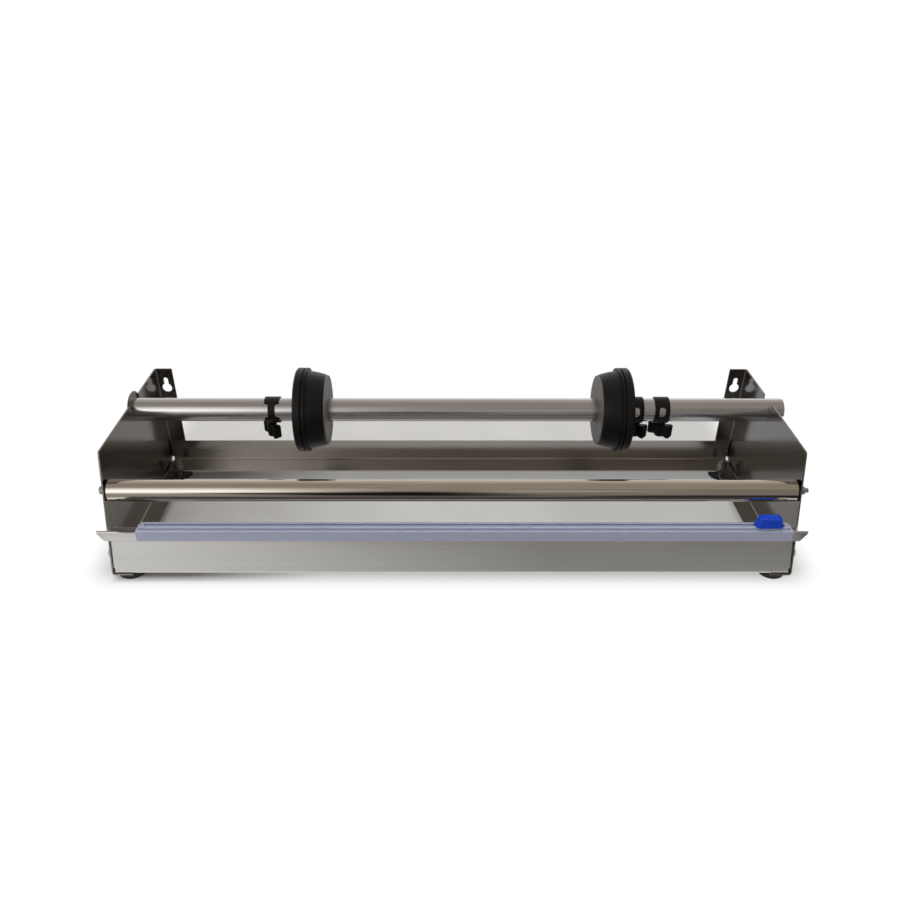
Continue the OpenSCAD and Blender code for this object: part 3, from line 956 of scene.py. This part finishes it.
@dataclass
class SlideCutter:
    """Clear strip and track on the front rail, with a blue slider that holds a blade."""

    clear: tuple[str, ...] = ("cutter_strip", "cutter_track", "cutter_end_stops")
    # Height of the slider's head, and its top as a share of its base along X and Y
    head_mm: float = 10.2
    top_share: Pair = (0.79, 0.8)
    corner_mm: float = 3.0
    corner_steps: int = 6
    rim_mm: float = 1.4
    rim_steps: int = 5
    # Thumb dish in the top: its distance from the rim, the width of its slope and its depth
    dish_inset_mm: float = 1.1
    dish_slope_mm: float = 0.35
    dish_mm: float = 0.45
    # How far the foot reaches up into the head
    overlap_mm: float = 0.3
    sharp_deg: float = 40.0

    def build(self, shelf: FinishShelf) -> None:
        """Makes and dresses the cutter.

        Args:
            shelf: the finishes.
        """
        shelf.dress_nodes(Look.CLEAR, *self.clear)
        shelf.dress_nodes(Look.BLADE, "cutter_blade")
        slider = self.make_slider()
        shelf.dress(slider, Look.BLUE)
        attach(slider, "cutter_slider")
        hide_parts("cutter_slider")
        LOG.info("made %s, %d faces", slider.name, len(slider.data.polygons))

    def make_slider(self) -> Piece:
        """Models the slider: a rounded head on the CAD foot that runs in the track.

        Returns:
            The finished slider.
        """
        low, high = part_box("cutter_slider")
        middle, size = (low + high) / 2, high - low
        height = self.head_mm * MM
        base = high.z - height
        head = start_piece(
            "cutter_slider_moulding",
            bpy.ops.mesh.primitive_cube_add,
            size=1.0,
            location=(middle.x, middle.y, base + height / 2),
        )
        head.scale = (size.x, size.y, height)
        bpy.ops.object.transform_apply(location=False, rotation=False, scale=True)
        edit(head)
        pick(head, Part.FACE, lambda face: face.normal.z > LOOKS_ALONG)
        bpy.ops.transform.resize(value=(*self.top_share, 1))
        pick(
            head,
            Part.EDGE,
            lambda edge: abs(edge.verts[0].co.z - edge.verts[1].co.z) > height / 2,
        )
        bpy.ops.mesh.bevel(offset=self.corner_mm * MM, segments=self.corner_steps)
        pick(head, Part.FACE, lambda face: face.normal.z > LOOKS_ALONG)
        bpy.ops.mesh.bevel(offset=self.rim_mm * MM, segments=self.rim_steps)
        pick(head, Part.FACE, lambda face: face.normal.z > LIES_LEVEL)
        bpy.ops.mesh.inset(thickness=self.dish_inset_mm * MM)
        bpy.ops.mesh.inset(thickness=self.dish_slope_mm * MM, depth=-self.dish_mm * MM)
        bpy.ops.object.mode_set(mode="OBJECT")
        slider = join([head, self.cut_foot(base)], head.name)
        settle(slider, self.sharp_deg)
        return slider

    def cut_foot(self, base: float) -> Piece:
        """Cuts the foot off a copy of the CAD slider.

        Args:
            base: height of the head's underside, in metres.

        Returns:
            The foot.
        """
        foot = copy_piece(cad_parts["cutter_slider"], "foot")
        edit(foot)
        merge_points()
        bpy.ops.mesh.select_all(action="SELECT")
        bpy.ops.mesh.bisect(
            plane_co=(0, 0, base + self.overlap_mm * MM),
            plane_no=(0, 0, 1),
            clear_outer=True,
            use_fill=True,
        )
        bpy.ops.object.mode_set(mode="OBJECT")
        foot.data.materials.clear()
        return foot


@dataclass
class Fasteners:
    """Screws, nuts, washers and feet."""

    screws: tuple[str, ...] = (
        "front_rail_screws",
        "front_rail_nuts",
        "foot_screws",
        "foot_washers",
        "foot_nuts",
    )
    feet: tuple[str, ...] = (
        "front_left_foot",
        "front_right_foot",
        "rear_left_foot",
        "rear_right_foot",
    )

    def build(self, shelf: FinishShelf) -> None:
        """Dresses the fasteners and feet.

        Args:
            shelf: the finishes.
        """
        shelf.dress_nodes(Look.ZINC, *self.screws)
        shelf.dress_nodes(Look.RUBBER, *self.feet)


class Edge(Enum):
    """How a studio card ends."""

    HARD = 0
    SOFT = 1


class Stand(Enum):
    """How a studio card stands, as its turn about X, Y and Z in degrees."""

    FLAT = (0, 0, 0)
    FACING_FRONT = (90, 0, 0)
    FACING_SIDE = (90, 0, 90)


@dataclass
class Card:
    """One card of the studio, which lights nothing and only reflections see: a painted reflection,
    highlight or shade.
    """

    name: str
    # Middle and size, in metres
    place: Point
    size: Pair
    stand: Stand
    # Colours at the two ends of the fade, its axis, and its ends in the card's own coordinates
    near: str
    far: str
    fade: Axis = Axis.X
    fade_ends: Span = (-CARD_EDGE, CARD_EDGE)
    strength: float = 1.0
    edge: Edge = Edge.HARD
    # How far from its middle a soft card is full, in its own coordinates
    core: float = 0.18

    def build(self) -> None:
        """Makes the card and its glow."""
        card = start_piece(self.name, bpy.ops.mesh.primitive_plane_add, size=2 * CARD_EDGE)
        card.scale = (*self.size, 1.0)
        card.rotation_euler = [math.radians(turn) for turn in self.stand.value]
        card.location = self.place
        material, tree, output = bare_material(self.name)
        coords = add_node(tree, "ShaderNodeTexCoord").outputs["Object"]
        axes = add_node(tree, "ShaderNodeSeparateXYZ", inputs={0: coords}).outputs
        colour = tone(tree, axes[self.fade.value], self.fade_ends, self.near, self.far)
        shown = add_node(
            tree, "ShaderNodeEmission", inputs={"Color": colour, "Strength": self.strength}
        )
        if self.edge is Edge.SOFT:
            shown = self.soften(tree, coords, shown)
        feed(tree, output, {"Surface": shown.outputs[0]})
        card.data.materials.append(material)
        card.visible_camera = card.visible_diffuse = card.visible_shadow = False
        LOG.info("placed %s", self.name)

    def soften(self, tree: Tree, coords: Socket, shown: bpy.types.Node) -> bpy.types.Node:
        """Lets the card fade into clear air from its core to its edge.

        Args:
            tree: the card's tree.
            coords: its coordinates.
            shown: its glow.

        Returns:
            The faded glow.
        """
        reach = add_node(tree, "ShaderNodeVectorMath", {"operation": "LENGTH"}, {0: coords})
        amount = add_node(
            tree,
            "ShaderNodeMapRange",
            {"interpolation_type": "SMOOTHSTEP"},
            {
                "Value": reach.outputs["Value"],
                "From Min": self.core,
                "From Max": CARD_EDGE,
                "To Min": 1.0,
                "To Max": 0.0,
            },
        )
        clear = add_node(tree, "ShaderNodeBsdfTransparent")
        return add_node(
            tree,
            "ShaderNodeMixShader",
            inputs={0: amount.outputs[0], 1: clear.outputs[0], 2: shown.outputs[0]},
        )


# Painted reflections: cards that light nothing and show only in reflections, for the highlights,
# sheens and dark streaks on the metal.
CARDS = (
    # Painted reflection of a warm ceiling: dims the tops of the tube, the roller and the cones.
    Card(
        "ceiling_card",
        place=(0.0, 0.6, 2.2),
        size=(7.0, 6.0),
        stand=Stand.FLAT,
        near="A2998F",
        far="C9C2BA",
        fade=Axis.Y,
        fade_ends=(-0.04, 0.16),
    ),
    # Painted reflection of a far wall in front, dimmer to the right: on the tube, the roller and
    # the rear rail.
    Card(
        "front_card",
        place=(0.0, -2.4, 0.8),
        size=(7.0, 2.8),
        stand=Stand.FACING_FRONT,
        near="B4ABA2",
        far="8A8178",
        fade_ends=(-0.15, 0.15),
    ),
    # Painted reflection: a low pale card close in front, fading to grey, makes the front rail
    # bright at its left and grey at its right.
    Card(
        "near_card",
        place=(-0.0025, -0.137, 0.0215),
        size=(0.725, 0.043),
        stand=Stand.FACING_FRONT,
        near="EAE9E8",
        far="8E8D89",
        fade_ends=(-0.493, 0.141),
    ),
    # Painted shade: a dark card hovering over the front of the shelf gives the roller's dark lower
    # edge.
    Card(
        "shelf_shade",
        place=(0.0, -0.11, 0.066),
        size=(0.66, 0.028),
        stand=Stand.FLAT,
        near="5A534F",
        far="463F3B",
    ),
    # Painted shade: a dark soft card on the floor in front to the right darkens the lip's right end
    # and the roller's right part.
    Card(
        "right_mat",
        place=(0.42, -0.25, 0.003),
        size=(0.66, 0.26),
        stand=Stand.FLAT,
        near="2A2624",
        far="2A2624",
        edge=Edge.SOFT,
        core=0.3,
    ),
    # Painted shade: a grey card on the floor inside the frame darkens the undersides of the tube,
    # the cones and the collars.
    Card(
        "inner_shade",
        place=(0.0, -0.035, 0.0015),
        size=(0.56, 0.1),
        stand=Stand.FLAT,
        near="827E7A",
        far="78746F",
    ),
    # Painted reflection of the floor further in front, dimmer to the right: lower half of the
    # roller, ends of the lip.
    Card(
        "far_floor_card",
        place=(0.0, -1.6, 0.002),
        size=(7.0, 2.9),
        stand=Stand.FLAT,
        near="A9A5A0",
        far="8A8682",
        fade_ends=(-0.08, 0.03),
    ),
    # Painted reflection of the floor behind and under the rear rail: the lower parts of the side
    # plates.
    Card(
        "rear_floor_card",
        place=(0.0, 0.25, 0.001),
        size=(0.8, 0.26),
        stand=Stand.FLAT,
        near="B4AEAA",
        far="C2C4CA",
        fade_ends=(-0.3, 0.3),
    ),
    # Painted reflection of a dark wall far to the right: the flanks of the cones.
    Card(
        "right_card",
        place=(2.4, 0.0, 1.0),
        size=(4.0, 2.2),
        stand=Stand.FACING_SIDE,
        near="5A5652",
        far="5A5652",
    ),
    # Painted highlights: a bright soft card in front to the left and its wide glow, which light
    # nothing, give the highlights at the left.
    Card(
        "window",
        place=(-0.9, -1.2, 0.6),
        size=(1.5, 1.3),
        stand=Stand.FACING_FRONT,
        near="FFFDFA",
        far="FFFDFA",
        strength=1.75,
        edge=Edge.SOFT,
        core=0.1,
    ),
    Card(
        "window_glow",
        place=(-0.95, -1.22, 1.0),
        size=(1.9, 3.2),
        stand=Stand.FACING_FRONT,
        near="FFFDFA",
        far="FFFDFA",
        strength=1.05,
        edge=Edge.SOFT,
        core=0.0,
    ),
    # Painted sheen: a small weak glowing card in front to the right gives a faint sheen on the
    # middle of tube and roller.
    Card(
        "far_window",
        place=(0.3, -1.2, 0.62),
        size=(0.8, 0.35),
        stand=Stand.FACING_FRONT,
        near="FFFDFA",
        far="FFFDFA",
        strength=0.62,
        edge=Edge.SOFT,
        core=0.05,
    ),
    # Painted reflection: three dark soft cards in front give the dark streak in the middle of the
    # roller.
    Card(
        "dark_door",
        place=(-0.05, -0.2, 0.095),
        size=(0.34, 0.15),
        stand=Stand.FACING_FRONT,
        near="171412",
        far="171412",
        edge=Edge.SOFT,
        core=0.05,
    ),
    Card(
        "dark_sill",
        place=(-0.14, -0.201, 0.092),
        size=(0.42, 0.05),
        stand=Stand.FACING_FRONT,
        near="171412",
        far="171412",
        edge=Edge.SOFT,
        core=0.2,
    ),
    Card(
        "dark_mat",
        place=(-0.05, -0.52, 0.004),
        size=(0.62, 0.8),
        stand=Stand.FLAT,
        near="171412",
        far="171412",
        edge=Edge.SOFT,
    ),
)


@dataclass
class Lamp:
    """One soft lamp that lights the object and the floor, but shows in no reflection."""

    name: str
    # Middle and size, in metres
    place: Point
    size: Pair
    watts: float
    # Point that it shines at
    aim: Point = (0.0, 0.0, 0.05)

    def build(self) -> None:
        """Makes the lamp and aims it."""
        data = bpy.data.lights.new(self.name, "AREA")
        data.shape = "RECTANGLE"
        data.size, data.size_y = self.size
        data.energy = self.watts
        lamp = bpy.data.objects.new(self.name, data)
        bpy.context.scene.collection.objects.link(lamp)
        lamp.location = self.place
        way = Vector(self.aim) - Vector(self.place)
        lamp.rotation_euler = way.to_track_quat("-Z", "Y").to_euler()
        lamp.visible_glossy = False


LAMPS = (
    Lamp("key_lamp", place=(-1.05, -1.35, 1.3), size=(1.1, 0.9), watts=5.5),
    Lamp("top_lamp", place=(0.0, 0.2, 1.8), size=(2.4, 1.6), watts=28.0),
)


@dataclass
class Studio:
    """Pale floor, soft light and the camera of the photographed view."""

    floor_size_m: float = 30.0
    paper: tuple[str, str] = ("B4B2AE", "BBB9B6")
    paper_roughness: float = 0.9
    paper_specular: float = 0.1
    mottle_mm: float = 60.0
    # Half size and centre of the area of painted shade in which the paper keeps its own grey, but
    # for the least lift, which is painted light over its shadows. Over the reach outside it, the
    # paper is lifted to white, so the shade fades out like a soft shadow.
    shaded_mm: Point = (338.0, 158.0, 0.0)
    shaded_centre_mm: Point = (0.0, 80.0, 0.0)
    shade_reach_mm: float = 46.0
    least_lift: float = 0.22
    # Painted shade beside the left plate: there the paper isn't lifted at all, so it is darker than
    # the rest of the inner floor. Its ends inwards and outwards from the plate's outer face, and
    # before the ends of its depth
    shade_inner_mm: Span = (70.0, 210.0)
    shade_outer_mm: Span = (-6.0, 2.0)
    shade_rear_mm: float = 12.0
    room_colour: str = "DEDBD8"
    room_strength: float = 0.62
    camera_place_mm: Point = (-10.8, -737.6, 544.6)
    pitch_deg: float = 32.17
    yaw_deg: float = -0.281
    roll_deg: float = 0.18
    lens_mm: float = 31.96
    sensor_mm: float = 36.0
    shift_x: float = 0.0141
    clip_m: Span = (0.02, 60.0)

    def build(self) -> None:
        """Makes the floor, the room, the cards, the lamps and the camera."""
        self.make_floor()
        self.make_room()
        for item in (*CARDS, *LAMPS):
            item.build()
        self.make_camera()

    def make_floor(self) -> None:
        """Makes the pale floor, which keeps the object's shadow, with painted shade round the
        frame.
        """
        floor = start_piece(
            "studio_floor", bpy.ops.mesh.primitive_plane_add, size=self.floor_size_m
        )
        # Matt paper: its own pale grey shows inside the frame, with the least lift as painted light
        # over its shadows, and away from it the paper is lifted to white; where the lift fades in
        # round the frame, the grey is painted shade.
        material, tree, output = bare_material("white_paper_roll")
        mottle = pattern(tree, [self.mottle_mm] * 3, detail=2.0)
        paper = add_node(
            tree,
            "ShaderNodeBsdfPrincipled",
            inputs={
                "Base Color": tone(tree, mottle, ONE_NOISE, *self.paper),
                "Roughness": self.paper_roughness,
                "Specular IOR Level": self.paper_specular,
            },
        )
        coords = add_node(tree, "ShaderNodeTexCoord").outputs["Object"]
        factors = (
            self.away_from_frame(tree, coords),
            self.background_rays(tree),
            self.outside_painted_plate_shade(tree, coords),
        )
        white = add_node(tree, "ShaderNodeEmission", inputs={"Color": WHITE, "Strength": 1.0})
        mixed = add_node(
            tree,
            "ShaderNodeMixShader",
            inputs={
                0: chain(tree, "MULTIPLY", factors),
                1: paper.outputs[0],
                2: white.outputs[0],
            },
        )
        feed(tree, output, {"Surface": mixed.outputs[0]})
        floor.data.materials.append(material)
        LOG.info("placed studio_floor")

    def away_from_frame(self, tree: Tree, coords: Socket) -> Socket:
        """Says the least lift inside the frame, and 1 well away from it, for the painted shade
        round the frame.

        Args:
            tree: the floor's tree.
            coords: its coordinates.

        Returns:
            The factor.
        """
        centre = [value * MM for value in self.shaded_centre_mm]
        half = [value * MM for value in self.shaded_mm]
        outside = coords
        for operation, other in (
            ("SUBTRACT", centre),
            ("ABSOLUTE", None),
            ("SUBTRACT", half),
            ("MAXIMUM", (0, 0, 0)),
            ("LENGTH", None),
        ):
            inputs = {0: outside} if other is None else {0: outside, 1: other}
            step = add_node(tree, "ShaderNodeVectorMath", {"operation": operation}, inputs)
            outside = step.outputs["Value" if operation == "LENGTH" else "Vector"]
        lifted = add_node(
            tree,
            "ShaderNodeMapRange",
            {"interpolation_type": "SMOOTHSTEP"},
            {
                "Value": outside,
                "From Min": 0.0,
                "From Max": self.shade_reach_mm * MM,
                "To Min": self.least_lift,
                "To Max": 1.0,
            },
        )
        return lifted.outputs[0]

    def outside_painted_plate_shade(self, tree: Tree, coords: Socket) -> Socket:
        """Says 0 in the painted shade along the left plate, and 1 elsewhere.

        Args:
            tree: the floor's tree.
            coords: its coordinates.

        Returns:
            The factor.
        """
        low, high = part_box("left_side_plate")
        axes = add_node(tree, "ShaderNodeSeparateXYZ", inputs={0: coords}).outputs
        depth = add_node(tree, "ShaderNodeMath", {"operation": "ABSOLUTE"}, {0: axes[1]})
        inner, outer = (
            [low.x + end * MM for end in span]
            for span in (self.shade_inner_mm, self.shade_outer_mm)
        )
        rear = (high.y - self.shade_rear_mm * MM, high.y)
        fades = []
        for value, (start, stop), (first, last) in (
            (axes[0], inner, (1.0, 0.0)),
            (axes[0], outer, (0.0, 1.0)),
            (depth.outputs[0], rear, (1.0, 0.0)),
        ):
            fade = add_node(
                tree,
                "ShaderNodeMapRange",
                inputs={
                    "Value": value,
                    "From Min": start,
                    "From Max": stop,
                    "To Min": first,
                    "To Max": last,
                },
            )
            fades.append(fade.outputs[0])
        rest = add_node(
            tree,
            "ShaderNodeMath",
            {"operation": "SUBTRACT"},
            {0: 1.0, 1: chain(tree, "MULTIPLY", fades)},
        )
        return rest.outputs[0]

    def background_rays(self, tree: Tree) -> Socket:
        """Says 1 for the rays that show the background: camera, glossy and transmission.

        Args:
            tree: the tree of a material or of the world.

        Returns:
            The factor.
        """
        rays = add_node(tree, "ShaderNodeLightPath").outputs
        shown = ("Is Camera Ray", "Is Glossy Ray", "Is Transmission Ray")
        return chain(tree, "MAXIMUM", [rays[name] for name in shown])

    def make_room(self) -> None:
        """Makes a grey room whose background is white to the camera and in reflections."""
        world = bpy.data.worlds.new("studio_room")
        bpy.context.scene.world = world
        world.use_nodes = True
        tree = world.node_tree
        tree.nodes.clear()
        soft = add_node(
            tree,
            "ShaderNodeBackground",
            inputs={"Color": linear(self.room_colour), "Strength": self.room_strength},
        )
        white = add_node(
            tree, "ShaderNodeBackground", inputs={"Color": WHITE, "Strength": 1.0}
        )
        mixed = add_node(
            tree,
            "ShaderNodeMixShader",
            inputs={0: self.background_rays(tree), 1: soft.outputs[0], 2: white.outputs[0]},
        )
        add_node(tree, "ShaderNodeOutputWorld", inputs={"Surface": mixed.outputs[0]})

    def make_camera(self) -> None:
        """Makes the camera, fitted to the photographed view."""
        data = bpy.data.cameras.new("photo_camera")
        camera = bpy.data.objects.new("photo_camera", data)
        bpy.context.scene.collection.objects.link(camera)
        data.sensor_width = self.sensor_mm
        data.lens = self.lens_mm
        data.shift_x = self.shift_x
        data.clip_start, data.clip_end = self.clip_m
        turn = (
            Matrix.Rotation(math.radians(self.yaw_deg), 4, "Z")
            @ Matrix.Rotation(math.radians(90 - self.pitch_deg), 4, "X")
            @ Matrix.Rotation(math.radians(self.roll_deg), 4, "Z")
        )
        place = Matrix.Translation([value * MM for value in self.camera_place_mm])
        camera.matrix_world = place @ turn
        bpy.context.scene.camera = camera


def main() -> None:
    """Builds and dresses the dispenser and its studio."""
    logging.basicConfig(level=logging.INFO, format="%(name)s: %(message)s")
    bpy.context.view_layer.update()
    Studio().build()
    shelf = FinishShelf()
    for part in (SheetFrame(), RollShaft(), WingKnobs(), GuideRoller(), SlideCutter(), Fasteners()):
        part.build(shelf)
    bpy.context.scene.view_settings.view_transform = "Standard"


if __name__ == "__main__":
    main()
